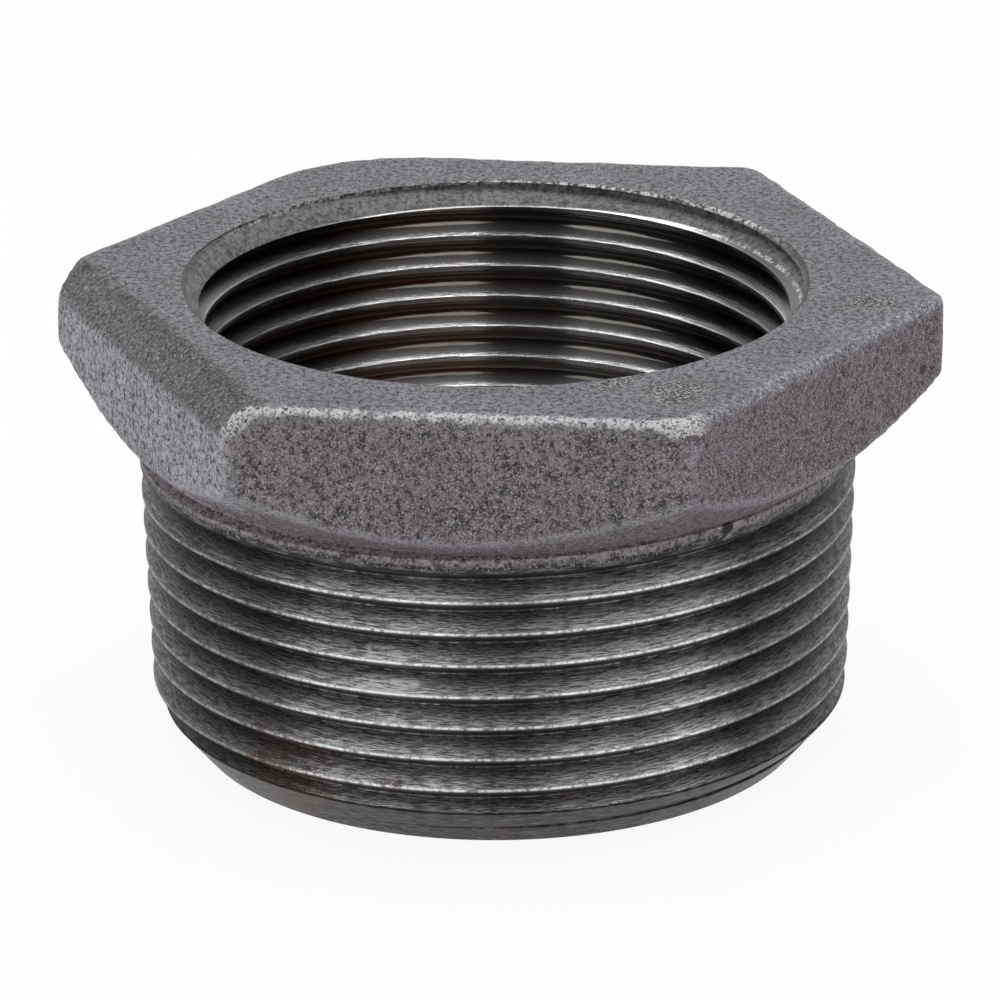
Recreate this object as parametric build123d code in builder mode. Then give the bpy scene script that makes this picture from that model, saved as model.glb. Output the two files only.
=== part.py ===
"""Reducing hex bushing, 1 1/2 inch outside pipe thread by 1 1/4 inch inside pipe thread.

One iron casting. It stands on its threaded end with the hexagon on top, the way it is
picked up to be screwed in. Millimetres, +Z up, origin at the centre of the threaded end.
The hexagon has corners on the X axis and flats facing the Y axis. Both threads are cut as
helical grooves. The inside one is tapped from the mouth into a bore drilled right through.
"""
from build123d import *
import math
import os

# Both threads: 60 degree sides, 11 1/2 threads to the inch, taper 1 in 16 on the diameter.
pitch = 25.4 / 11.5
taper = 1 / 32                      # growth of the radius for each millimetre of height
half_angle = 30.0                   # side of a thread to the plane across the axis, degrees

# Outside thread.
crest_radius = 23.47                # over the crests, carried on down to the end face
crest_flat = 0.5                    # width of the flat along a crest
full_turns = 9                      # turns at full depth, counted down from the run-out
runout_height = 19.55               # groove centre where the run-out turn begins, on the +X side
end_bevel_height = 3.3
end_bevel_width = 2.65

# Bore and inside thread.
bore_radius = 19.5
mouth_radius = 20.95
mouth_angle = 45.0                  # countersink, side to the axis, degrees
inside_root_radius = 20.85          # to the bottom of the inside groove, at the top face
inside_full_turns = 5               # turns at full depth, counted down from the mouth
inside_top_height = 32.82           # groove centre where the top turn ends, in the air over +X

# Head.
overall_height = 31.6
across_flats = 52.1
corner_radius = 1.5
gate_corner_radius = 11.0           # the corner where the casting gate was ground away
top_edge_bevel = 0.45
worn_edge_width = 2.1               # the long bevel beaten into one top edge
worn_flat_angle = 210.0             # direction that the flat below that bevel faces, degrees
neck_height = 21.5                  # where the plain neck turns out into the head
underside_angle = 52.0              # conical underside of the head to the axis, degrees

# Construction.
overcut = 0.1                       # how far a cutter stands clear of what it cuts
neck_overlap = 0.3                  # how far the head reaches down round the neck
stub_overlap = 4.0                  # how far the threaded stub reaches up inside the head
seam_angle = 140.0                  # the round blanks' seam, clear of the grooves' ends, degrees

section_plane = Plane(
    origin=(0, 0, 0),
    x_dir=(math.cos(math.radians(seam_angle)), math.sin(math.radians(seam_angle)), 0),
    z_dir=(math.sin(math.radians(seam_angle)), -math.cos(math.radians(seam_angle)), 0),
)


def radius_at(height):
    """Radius over the outside thread's crests at a height."""
    return crest_radius + height * taper


def inside_root_radius_at(height):
    """Radius to the bottom of the inside thread's groove at a height."""
    return inside_root_radius - (overall_height - height) * taper


def is_sharp_corner(corner):
    """True for a corner of the hexagon that has not been rounded yet."""
    return math.hypot(corner.X, corner.Y) > across_flats / math.sqrt(3) - overcut


def groove_turn(start_height, start_radius, cone_angle, reach):
    """V cutter for one right-hand turn of groove, its point following the helix.

    The V opens outwards by reach, or inwards where reach is negative.
    """
    half_mouth = abs(reach) * groove_slope
    with BuildPart() as cutter:
        with BuildLine() as path:
            Helix(
                pitch,
                pitch,
                start_radius,
                center=(0, 0, start_height),
                cone_angle=cone_angle,
            )
        across = Plane(origin=path.line @ 0, x_dir=(1, 0, 0), z_dir=path.line % 0)
        with BuildSketch(across):
            with BuildLine():
                Polyline(
                    (0, 0),
                    (reach, -half_mouth),
                    (reach, half_mouth),
                    close=True,
                )
            make_face()
        sweep(path=path.line, is_frenet=True)
    return cutter.part


groove_slope = math.tan(math.radians(half_angle))
taper_angle = math.degrees(math.atan(taper))

# Outside groove: full turns up the taper, then one turn that climbs out of the metal.
groove_depth = (pitch - crest_flat) / 2 / groove_slope
groove_reach = groove_depth + overcut
runout_angle = math.degrees(math.atan(groove_reach / pitch))
outside_groove = [
    groove_turn(runout_height, radius_at(runout_height) - groove_depth, runout_angle, groove_reach)
]
for turn in range(full_turns):
    start = runout_height - (turn + 1) * pitch
    outside_groove.append(
        groove_turn(start, radius_at(start) - groove_depth, taper_angle, groove_reach)
    )

# Inside groove: full turns down from the mouth, below one turn that sinks into the bore.
inside_reach = inside_root_radius - bore_radius + overcut
inside_groove = []
for turn in range(inside_full_turns):
    start = inside_top_height - (turn + 1) * pitch
    inside_groove.append(
        groove_turn(start, inside_root_radius_at(start), taper_angle, -inside_reach)
    )
sink_height = inside_top_height - (inside_full_turns + 1) * pitch
sink_radius = bore_radius - overcut
sink_depth = inside_root_radius_at(sink_height + pitch) - sink_radius
sink_angle = math.degrees(math.atan(sink_depth / pitch))
inside_groove.append(groove_turn(sink_height, sink_radius, sink_angle, -inside_reach))

# Head: a hexagon with cast corners, its underside turned to a cone.
head_start = neck_height - neck_overlap
with BuildPart() as head:
    with BuildSketch(Plane.XY.offset(head_start)):
        RegularPolygon(across_flats / 2, 6, major_radius=False)
        fillet(vertices().group_by(Axis.Y)[-1].sort_by(Axis.X)[0], gate_corner_radius)
        fillet(vertices().filter_by(is_sharp_corner), corner_radius)
    extrude(amount=overall_height - head_start)
    # The long bevel beaten into the top edge of the flat that faces between -X and -Y.
    bevel_direction = Vector(1, 0, 0).rotate(Axis.Z, worn_flat_angle)
    bevel_plane = Plane(
        origin=bevel_direction * across_flats / 2 + Vector(0, 0, overall_height),
        x_dir=bevel_direction,
        z_dir=bevel_direction.cross(Vector(0, 0, 1)),
    )
    with BuildSketch(bevel_plane):
        with BuildLine():
            Polyline(
                (-worn_edge_width, 0),
                (overcut, -worn_edge_width - overcut),
                (overcut, overcut),
                (-worn_edge_width, overcut),
                close=True,
            )
        make_face()
    extrude(amount=across_flats, both=True, mode=Mode.SUBTRACT)
    chamfer(faces().sort_by(Axis.Z)[-1].edges(), top_edge_bevel)
    # Cone under the head, from the neck out past the corners.
    cone_slope = math.tan(math.radians(underside_angle))
    cone_base = radius_at(neck_height) - neck_overlap * cone_slope
    cone_top = cone_base + (overall_height - head_start) * cone_slope
    with BuildSketch(section_plane):
        with BuildLine():
            Polyline(
                (0, head_start),
                (cone_base, head_start),
                (cone_top, overall_height),
                (0, overall_height),
                close=True,
            )
        make_face()
    revolve(axis=Axis.Z, mode=Mode.INTERSECT)

with BuildPart() as hex_bushing:
    # Neck and thread blank, tapering down to the end bevel and running up inside the head.
    stub_top = neck_height + stub_overlap
    with BuildSketch(section_plane):
        with BuildLine():
            Polyline(
                (0, 0),
                (radius_at(0) - end_bevel_width, 0),
                (radius_at(end_bevel_height), end_bevel_height),
                (radius_at(stub_top), stub_top),
                (0, stub_top),
                close=True,
            )
        make_face()
    revolve(axis=Axis.Z)
    add(outside_groove, mode=Mode.SUBTRACT)
    add(head.part)
    # Drilled bore with a countersunk mouth, then the inside thread.
    mouth_depth = (mouth_radius - bore_radius) / math.tan(math.radians(mouth_angle))
    with BuildSketch(section_plane):
        with BuildLine():
            Polyline(
                (0, -overcut),
                (bore_radius, -overcut),
                (bore_radius, overall_height - mouth_depth),
                (mouth_radius, overall_height),
                (mouth_radius, overall_height + overcut),
                (0, overall_height + overcut),
                close=True,
            )
        make_face()
    revolve(axis=Axis.Z, mode=Mode.SUBTRACT)
    add(inside_groove, mode=Mode.SUBTRACT)

os.makedirs("parts", exist_ok=True)
hex_bushing.part.label = "hex_bushing"
export_step(hex_bushing.part, "parts/hex_bushing.step")
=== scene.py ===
"""Looks of a reducing hex bushing: one iron casting with a machined thread outside and inside.

The head and neck keep their sand-cast skin under a black oxide, and both threads, the mouth and
the standing end are bare from the cutter. Lengths are metres, and the shaders work in millimetres.
"""
import bpy
import math
from bpy.props import FloatProperty
from bpy.props import FloatVectorProperty
from bpy.props import IntProperty
from bpy.props import PointerProperty
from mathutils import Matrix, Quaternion
from mathutils import Vector


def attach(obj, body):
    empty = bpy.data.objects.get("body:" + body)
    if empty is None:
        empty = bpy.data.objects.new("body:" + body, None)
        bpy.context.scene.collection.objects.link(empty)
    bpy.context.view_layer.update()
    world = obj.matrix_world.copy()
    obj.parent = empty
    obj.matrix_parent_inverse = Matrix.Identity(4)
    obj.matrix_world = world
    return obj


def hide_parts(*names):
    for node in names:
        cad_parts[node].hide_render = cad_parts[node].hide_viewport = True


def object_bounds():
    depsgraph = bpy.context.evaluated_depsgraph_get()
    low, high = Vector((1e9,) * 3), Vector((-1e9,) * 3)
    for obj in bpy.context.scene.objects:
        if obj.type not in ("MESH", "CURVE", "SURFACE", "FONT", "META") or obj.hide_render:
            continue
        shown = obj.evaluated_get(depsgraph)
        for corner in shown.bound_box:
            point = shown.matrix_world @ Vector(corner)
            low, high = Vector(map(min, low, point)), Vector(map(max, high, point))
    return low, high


bl_info = {
    "name": "Hex Bushing Looks",
    "version": (1, 0, 0),
    "blender": (4, 5, 0),
    "location": "3D View > Sidebar > Hex Bushing",
    "description": "Models a cast-iron hex bushing with its threads, finishes and studio",
    "category": "Object",
}

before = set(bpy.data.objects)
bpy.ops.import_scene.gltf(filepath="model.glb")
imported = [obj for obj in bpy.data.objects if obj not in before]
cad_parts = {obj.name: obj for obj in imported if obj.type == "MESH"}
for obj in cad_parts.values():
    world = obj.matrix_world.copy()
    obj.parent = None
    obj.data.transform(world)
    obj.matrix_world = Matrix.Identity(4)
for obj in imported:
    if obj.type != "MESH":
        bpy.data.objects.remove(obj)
LOW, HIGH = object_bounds()
NODE = "hex_bushing"
PIECE = "bushing_casting"
MM = 0.001

# Shape values that follow from how the casting is put together.
MOUTH_DEPTH = 1.5 * MM              # of the countersink
CLEARANCE = 0.1 * MM                # how far a groove's cutter stands clear of the crests
NECK_OVERLAP = 1.2 * MM             # how far the head reaches down round the neck
STUB_OVERLAP = 4 * MM               # how far the threaded stub reaches up inside the head
CONE_OVERLAP = 0.5 * MM             # how far the underside's cone passes the head at each end
BORE_OVERRUN = 1 * MM               # how far the bore's cutter passes the body at each end
THREAD_HALF_ANGLE = math.radians(30)
SMOOTH_ANGLE = math.radians(28)     # edges sharper than this stay sharp

# Directions round the head, in degrees from +X.
GATE_CORNER = 120                   # ground off where the casting gate was
PLAIN_CORNERS = (0, 60, 180, 240, 300)
FRONT_CORNERS = (240, 300)
WORN_SIDE = 210                     # the flat below the beaten edge

# Painted light and shade round each thread, for the overhead lamps' reflection: the band's centre, and the
# share of light there and at the sides.
OUTSIDE_PAINTED_LIGHT = {"Centre": math.radians(278.5), "Middle": 0.56, "Sides": 0.27}
INSIDE_PAINTED_LIGHT = {"Centre": math.radians(91.5), "Middle": 0.50, "Sides": 0.50}

# Marks on the casting, each with its place and size in millimetres.
ROUGH_MARKS = (((9.5, -18.6, 31.6), 2.2), ((14.2, -20.6, 31.6), 2.6), ((25.4, -1.9, 31.6), 2.0))
DENTS = (((28.6, -2.6, 27.2), 0.45), ((-28.2, 0.4, 31.5), 0.7))
# Galled patch at the front, which also stands for a painted highlight.
GALLED_HIGHLIGHT_PATCH = ((-4.4, -23.0, 11.9), 2.8)
RUSTY_PATCH = ((-11.6, -20.2, 3.6), 4.5)
NICK_PLACE = (17.18, -16.98, 21.1)
NICK = (NICK_PLACE, 0.6)
NICK_RIM = (NICK_PLACE, 1.0)
NECK_RADIUS = 24.14                 # where the neck meets the head's underside, in millimetres

# Shades inside the finishes, beside the colours that a user would change.
PAINTED_GLINT = (0.50, 0.48, 0.49, 1)
MARK_DARK = (0.03, 0.03, 0.031, 1)
MARK_PALE = (0.42, 0.42, 0.43, 1)
DENT_DARK = (0.02, 0.02, 0.02, 1)
CHIP_DARK = (0.040, 0.038, 0.036, 1)
CHIP_PALE = (0.34, 0.335, 0.32, 1)
PALE_ARRIS_HIGHLIGHT = (0.44, 0.44, 0.48, 1)
# Crests rubbed bright, with a painted highlight as well.
CREST_WEAR_AND_HIGHLIGHT = (0.80, 0.80, 0.81, 1)
GALLED_METAL_AND_HIGHLIGHT = (0.90, 0.90, 0.90, 1)
# Painted shade on the outside thread's down-facing flanks.
OUTSIDE_UNDERSIDE_SHADE = (0.035, 0.035, 0.038, 1)
LAND_DARK = (0.008, 0.008, 0.009, 1)
LAND_PALE = (0.13, 0.126, 0.13, 1)
NECK_SKIN = (0.32, 0.28, 0.305, 1)
BURR_METAL = (0.42, 0.41, 0.42, 1)
BEVEL_DARK = (0.012, 0.012, 0.013, 1)
BEVEL_PALE = (0.095, 0.090, 0.098, 1)
NICK_RIM_METAL = (0.6, 0.6, 0.6, 1)
NICK_DARK = (0.008, 0.008, 0.008, 1)
INSIDE_ROOT_SHADE = (0.30, 0.29, 0.28, 1)
INSIDE_FLANK = (0.64, 0.64, 0.65, 1)
OIL_STAIN = (0.30, 0.13, 0.05, 1)
LENS_REFLECTION = (1.0, 0.96, 0.90, 1)
INSIDE_UNDERSIDE_OIL_AND_SHADE = (0.06, 0.045, 0.035, 1)
INSIDE_CREST_HIGHLIGHT = (1.0, 1.0, 1.0, 1)
INSIDE_WALL_SHADE = (0.065, 0.065, 0.07, 1)
MOUTH_DARK = (0.030, 0.029, 0.032, 1)
MOUTH_PALE = (0.165, 0.160, 0.172, 1)
RIM_SHADOW = (0.03, 0.03, 0.03, 1)
RIM_NICK_AND_HIGHLIGHT = (0.62, 0.61, 0.60, 1)

# Studio: each lamp's place and size, and the floor.
LAMP_AIM = Vector((0, 0, 0.015))
LEFT_STRIP = ((-0.17, 0.08, 0.60), (0.20, 0.60))
RIGHT_STRIP = ((0.20, 0.08, 0.60), (0.26, 0.60))
FRONT_LAMP = ((-0.20, -0.70, 0.35), (0.60, 0.40))
FLOOR_SIZE = 4
FLOOR_PAINT = (0.85, 0.85, 0.85, 1)
FLOOR_GLOW = 0.92                   # share of plain white in the floor as the camera sees it
WHITE = (1, 1, 1, 1)


# ---------------------------------------------------------------- sizes and colours


class HeadSizes(bpy.types.PropertyGroup):
    """Hexagon head and neck."""

    across_flats: FloatProperty(
        name="Across flats", description="Distance between opposite flats",
        default=HIGH.y - LOW.y, subtype="DISTANCE", unit="LENGTH",
    )
    height: FloatProperty(
        name="Overall height", description="From the threaded end to the top face",
        default=HIGH.z - LOW.z, subtype="DISTANCE", unit="LENGTH",
    )
    corner_radius: FloatProperty(
        name="Corner radius", description="Rounding of the upright corners",
        default=0.0016, subtype="DISTANCE", unit="LENGTH",
    )
    gate_radius: FloatProperty(
        name="Gate corner radius", description="Rounding of the corner where the gate was ground off",
        default=0.011, subtype="DISTANCE", unit="LENGTH",
    )
    edge_radius: FloatProperty(
        name="Top edge rounding", description="Width of the rounding round the top face",
        default=0.0006, subtype="DISTANCE", unit="LENGTH",
    )
    worn_width: FloatProperty(
        name="Worn edge width", description="Width of the long bevel beaten into one top edge",
        default=0.0024, subtype="DISTANCE", unit="LENGTH",
    )
    neck_height: FloatProperty(
        name="Neck height", description="Height at which the neck turns out into the head",
        default=0.0219, subtype="DISTANCE", unit="LENGTH",
    )
    underside_angle: FloatProperty(
        name="Underside angle", description="Underside of the head to the axis",
        default=math.radians(53), subtype="ANGLE", unit="ROTATION",
    )
    underside_lean: FloatProperty(
        name="Underside lean", description="How far the underside leans down towards the front",
        default=math.radians(1.2), subtype="ANGLE", unit="ROTATION",
    )
    corner_shift: FloatProperty(
        name="Front corners' shift",
        description="How far the casting's two front corners lie to the right",
        default=0.0009, subtype="DISTANCE", unit="LENGTH",
    )
    skin_grid: FloatProperty(
        name="Skin grid", description="Size of the faces of the cast skin",
        default=0.00034, subtype="DISTANCE", unit="LENGTH",
    )
    skin_waviness: FloatProperty(
        name="Skin waviness", description="How deep the sand mould's unevenness goes",
        default=0.00015, subtype="DISTANCE", unit="LENGTH",
    )


class OutsideThreadSizes(bpy.types.PropertyGroup):
    """Tapered outside thread."""

    pitch: FloatProperty(
        name="Pitch", description="Rise in one turn", default=0.0254 / 11.5,
        subtype="DISTANCE", unit="LENGTH",
    )
    taper: FloatProperty(
        name="Taper", description="Growth of the radius with height", default=1 / 32,
    )
    crest_radius: FloatProperty(
        name="Crest radius", description="Over the crests, carried on down to the end face",
        default=0.02347, subtype="DISTANCE", unit="LENGTH",
    )
    depth: FloatProperty(
        name="Depth", description="From crest to root", default=0.0016,
        subtype="DISTANCE", unit="LENGTH",
    )
    root_flat: FloatProperty(
        name="Root flat", description="Width of the flat at the root", default=0.00012,
        subtype="DISTANCE", unit="LENGTH",
    )
    turns: IntProperty(name="Full turns", description="Turns at full depth", default=9)
    runout_height: FloatProperty(
        name="Run-out height", description="Root centre where the thread begins to run out",
        default=0.01955, subtype="DISTANCE", unit="LENGTH",
    )
    bevel_height: FloatProperty(
        name="End bevel height", description="Height of the bevel at the small end",
        default=0.0033, subtype="DISTANCE", unit="LENGTH",
    )
    bevel_width: FloatProperty(
        name="End bevel width", description="Width of the bevel at the small end",
        default=0.00265, subtype="DISTANCE", unit="LENGTH",
    )


class InsideThreadSizes(bpy.types.PropertyGroup):
    """Tapered inside thread and its mouth."""

    crest_radius: FloatProperty(
        name="Crest radius", description="To the crests at the mouth", default=0.01962,
        subtype="DISTANCE", unit="LENGTH",
    )
    depth: FloatProperty(
        name="Depth", description="From crest to root", default=0.0014,
        subtype="DISTANCE", unit="LENGTH",
    )
    root_flat: FloatProperty(
        name="Root flat", description="Width of the flat at the root", default=0.0003,
        subtype="DISTANCE", unit="LENGTH",
    )
    start_height: FloatProperty(
        name="Start height", description="Root centre of the first turn, on the +X side",
        default=-0.00251, subtype="DISTANCE", unit="LENGTH",
    )
    mouth_radius: FloatProperty(
        name="Mouth radius", description="Outer edge of the countersink", default=0.0209,
        subtype="DISTANCE", unit="LENGTH",
    )
    segments: IntProperty(name="Segments", description="Faces round one turn", default=216)


class StageSettings(bpy.types.PropertyGroup):
    """Camera, lamps and floor."""

    azimuth: FloatProperty(
        name="Azimuth", description="Camera's direction round the object",
        default=math.radians(7.6), subtype="ANGLE", unit="ROTATION",
    )
    elevation: FloatProperty(
        name="Elevation", description="Camera's height above the horizon",
        default=math.radians(21.14), subtype="ANGLE", unit="ROTATION",
    )
    roll: FloatProperty(
        name="Roll", description="Camera's turn about its own axis",
        default=math.radians(-0.55), subtype="ANGLE", unit="ROTATION",
    )
    distance: FloatProperty(
        name="Distance", description="Camera to the point it looks at", default=0.430,
        subtype="DISTANCE", unit="LENGTH",
    )
    aim_height: FloatProperty(
        name="Aim height", description="Height of the point that the camera looks at",
        default=0.0158, subtype="DISTANCE", unit="LENGTH",
    )
    lens: FloatProperty(name="Lens", description="Focal length in millimetres", default=229.2)
    shift: FloatProperty(
        name="Sideways shift", description="Shift of the picture, as a share of its width", default=0.0016,
    )
    world_strength: FloatProperty(
        name="World strength", description="Soft light from all round", default=0.55,
    )
    strip_power: FloatProperty(
        name="Strip power", description="Each of the two strips overhead", default=1.1, unit="POWER",
    )
    front_power: FloatProperty(
        name="Front power", description="Soft lamp at the front", default=0.9, unit="POWER",
    )


class FinishColours(bpy.types.PropertyGroup):
    """Colours of the cast skin and of the cut metal."""

    skin: FloatVectorProperty(
        name="Cast skin", description="Oxidised sand-cast skin", subtype="COLOR",
        default=(0.245, 0.217, 0.231), min=0, max=1,
    )
    blue: FloatVectorProperty(
        name="Blue tint", description="Bluish tint of the oxide on the top and the left flat",
        subtype="COLOR", default=(0.240, 0.236, 0.262), min=0, max=1,
    )
    left: FloatVectorProperty(
        name="Left flat", description="Paler bluish oxide on the left flat", subtype="COLOR",
        default=(0.44, 0.43, 0.49), min=0, max=1,
    )
    skin_dark: FloatVectorProperty(
        name="Pits in the skin", description="Bottom of the grain", subtype="COLOR",
        default=(0.034, 0.032, 0.035), min=0, max=1,
    )
    # Rubbed metal on the arrises, which also carries a painted highlight.
    worn: FloatVectorProperty(
        name="Worn edge", description="Metal rubbed bright on an arris", subtype="COLOR",
        default=(0.72, 0.72, 0.74), min=0, max=1,
    )
    purple: FloatVectorProperty(
        name="Heat tint", description="Purplish tint of the oxide on one side", subtype="COLOR",
        default=(0.190, 0.140, 0.174), min=0, max=1,
    )
    cut_metal: FloatVectorProperty(
        name="Cut metal", description="Thread flank from the cutter", subtype="COLOR",
        default=(0.50, 0.50, 0.51), min=0, max=1,
    )
    # Painted shade deep in the outside groove, darkest at the root.
    painted_root_shade: FloatVectorProperty(
        name="Thread root", description="Oily dark root of the thread", subtype="COLOR",
        default=(0.13, 0.13, 0.138), min=0, max=1,
    )
    rust: FloatVectorProperty(
        name="Rust", description="Specks of rust", subtype="COLOR",
        default=(0.13, 0.062, 0.032), min=0, max=1,
    )


# ---------------------------------------------------------------- modelling helpers


def pick(obj):
    """Leaves one object selected and active."""
    bpy.ops.object.select_all(action="DESELECT")
    obj.select_set(True)
    bpy.context.view_layer.objects.active = obj


def settle(obj, name, material):
    """Names an object, applies its place and gives it one material."""
    pick(obj)
    bpy.ops.object.transform_apply(location=True, rotation=True, scale=True)
    obj.name = name
    obj.data.name = name
    obj.data.materials.clear()
    obj.data.materials.append(material)
    return obj


def turned_solid(name, rings, segments, material):
    """Solid of revolution through (radius, height) rings, from the lowest up."""
    radius, height = rings[0]
    bpy.ops.mesh.primitive_circle_add(
        vertices=segments, radius=radius, fill_type="NGON", location=(0, 0, height)
    )
    obj = bpy.context.object
    settle(obj, name, material)
    bpy.ops.object.mode_set(mode="EDIT")
    bpy.ops.mesh.select_all(action="SELECT")
    for next_radius, next_height in rings[1:]:
        bpy.ops.mesh.extrude_region_move(
            TRANSFORM_OT_translate={"value": (0, 0, next_height - height)}
        )
        grow = next_radius / radius
        bpy.ops.transform.resize(value=(grow, grow, 1), center_override=(0, 0, next_height))
        radius, height = next_radius, next_height
    bpy.ops.mesh.select_all(action="SELECT")
    bpy.ops.mesh.normals_make_consistent(inside=False)
    bpy.ops.object.mode_set(mode="OBJECT")
    return obj


def apply_modifier(obj, kind, **settings):
    """Adds one modifier with its settings and applies it."""
    pick(obj)
    bpy.ops.object.modifier_add(type=kind)
    modifier = obj.modifiers[-1]
    for name, value in settings.items():
        setattr(modifier, name, value)
    bpy.ops.object.modifier_apply(modifier=modifier.name)


def boolean(body, other, operation):
    """Joins, cuts or trims a body with another solid, which is used up."""
    apply_modifier(
        body, "BOOLEAN",
        operation=operation, solver="EXACT", material_mode="TRANSFER", object=other,
    )
    bpy.data.objects.remove(other)


def groove_solid(name, path, outline, material):
    """Solid swept along a list of points, from an outline of (outwards, upwards) points."""
    section = bpy.data.curves.new(name + "_section", "CURVE")
    section.dimensions = "2D"
    spline = section.splines.new("POLY")
    spline.points.add(len(outline) - 1)
    for point, (outwards, upwards) in zip(spline.points, outline):
        point.co = (outwards, upwards, 0, 1)
    spline.use_cyclic_u = True
    section_obj = bpy.data.objects.new(name + "_section", section)
    bpy.context.collection.objects.link(section_obj)
    curve = bpy.data.curves.new(name, "CURVE")
    curve.dimensions = "3D"
    curve.twist_mode = "Z_UP"
    curve.bevel_mode = "OBJECT"
    curve.bevel_object = section_obj
    curve.use_fill_caps = True
    spline = curve.splines.new("POLY")
    spline.points.add(len(path) - 1)
    for point, place in zip(spline.points, path):
        point.co = (*place, 1)
    obj = bpy.data.objects.new(name, curve)
    bpy.context.collection.objects.link(obj)
    pick(obj)
    bpy.ops.object.convert(target="MESH")
    obj = bpy.context.object
    bpy.data.objects.remove(section_obj)
    bpy.ops.object.mode_set(mode="EDIT")
    bpy.ops.mesh.select_all(action="SELECT")
    bpy.ops.mesh.remove_doubles(threshold=1e-7)
    bpy.ops.mesh.normals_make_consistent(inside=False)
    bpy.ops.object.mode_set(mode="OBJECT")
    return settle(obj, name, material)


def near_corner(place, direction_degrees, circumradius, reach):
    """True for a place that lies within reach of a sharp corner of the hexagon, seen from above."""
    angle = math.radians(direction_degrees)
    corner = Vector((circumradius * math.cos(angle), circumradius * math.sin(angle)))
    return (Vector(place[:2]) - corner).length < reach


def select_nothing(obj, kind):
    """Leaves nothing selected in an object, ready to select vertices or edges by their place."""
    pick(obj)
    bpy.ops.object.mode_set(mode="EDIT")
    bpy.ops.mesh.select_mode(type=kind)
    bpy.ops.mesh.select_all(action="DESELECT")
    bpy.ops.object.mode_set(mode="OBJECT")


def bevel_selected(offset, segments):
    """Rounds the selected edges of the active object."""
    bpy.ops.object.mode_set(mode="EDIT")
    bpy.ops.mesh.bevel(offset=offset, segments=segments)
    bpy.ops.object.mode_set(mode="OBJECT")


def round_corners(obj, directions, circumradius, radius, segments):
    """Rounds the upright edges of the hexagon that stand in the given directions."""
    select_nothing(obj, "EDGE")
    for edge in obj.data.edges:
        places = [obj.data.vertices[index].co for index in edge.vertices]
        upright = abs(places[0].z - places[1].z) > MM
        edge.select = upright and any(
            near_corner(places[0], direction, circumradius, 0.1 * MM) for direction in directions
        )
    half_turn = math.radians(30)        # half of the turn from one flat to the next
    bevel_selected(radius * math.tan(half_turn), segments)


def shift_corner(obj, direction_degrees, circumradius, value):
    """Moves one rounded corner of the hexagon."""
    select_nothing(obj, "VERT")
    for vertex in obj.data.vertices:
        vertex.select = near_corner(vertex.co, direction_degrees, circumradius, 3 * MM)
    bpy.ops.object.mode_set(mode="EDIT")
    bpy.ops.transform.translate(value=value)
    bpy.ops.object.mode_set(mode="OBJECT")


def round_top_edge(obj, height, width):
    """Rounds the edges round the top face."""
    select_nothing(obj, "EDGE")
    lowest = height - 0.01 * MM
    for edge in obj.data.edges:
        edge.select = all(obj.data.vertices[index].co.z > lowest for index in edge.vertices)
    bevel_selected(width, 3)


def sand_skin(obj, grid, waviness):
    """Gives a solid the even faces and slightly uneven skin of a sand casting."""
    apply_modifier(obj, "REMESH", mode="VOXEL", voxel_size=grid)
    apply_modifier(obj, "SMOOTH", factor=0.5, iterations=3)
    for size, depth in ((4.0 * MM, waviness), (1.1 * MM, waviness * 0.7)):
        texture = bpy.data.textures.new("sand", "CLOUDS")
        texture.noise_scale = size
        texture.noise_depth = 2
        apply_modifier(
            obj, "DISPLACE", texture=texture, texture_coords="LOCAL", strength=depth, mid_level=0.5
        )
        bpy.data.textures.remove(texture)
    for vertex in obj.data.vertices:
        for axis in range(3):
            vertex.co[axis] = min(max(vertex.co[axis], LOW[axis]), HIGH[axis])


def helix(start_height, start_radius, turns, segments, pitch, taper, climb=0.0):
    """Points up a right-hand helix, from the +X side. Climb is the extra radius won in a turn."""
    places = []
    for step in range(1, turns * segments + 1):
        turned = step / segments
        angle = math.tau * turned
        radius = start_radius + turned * (pitch * taper + climb)
        places.append(
            (radius * math.cos(angle), radius * math.sin(angle), start_height + turned * pitch)
        )
    return places


def groove_outline(depth, root_flat, outside):
    """Cutter's outline from its path on the crests: a root, 60 degree sides and a wide mouth."""
    half_root = root_flat / 2
    half_mouth = half_root + (depth + CLEARANCE) * math.tan(THREAD_HALF_ANGLE)
    sign = 1 if outside else -1
    return [
        (-sign * depth, -half_root),
        (sign * CLEARANCE, -half_mouth),
        (sign * CLEARANCE, half_mouth),
        (-sign * depth, half_root),
    ]


# ---------------------------------------------------------------- shader helpers


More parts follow.
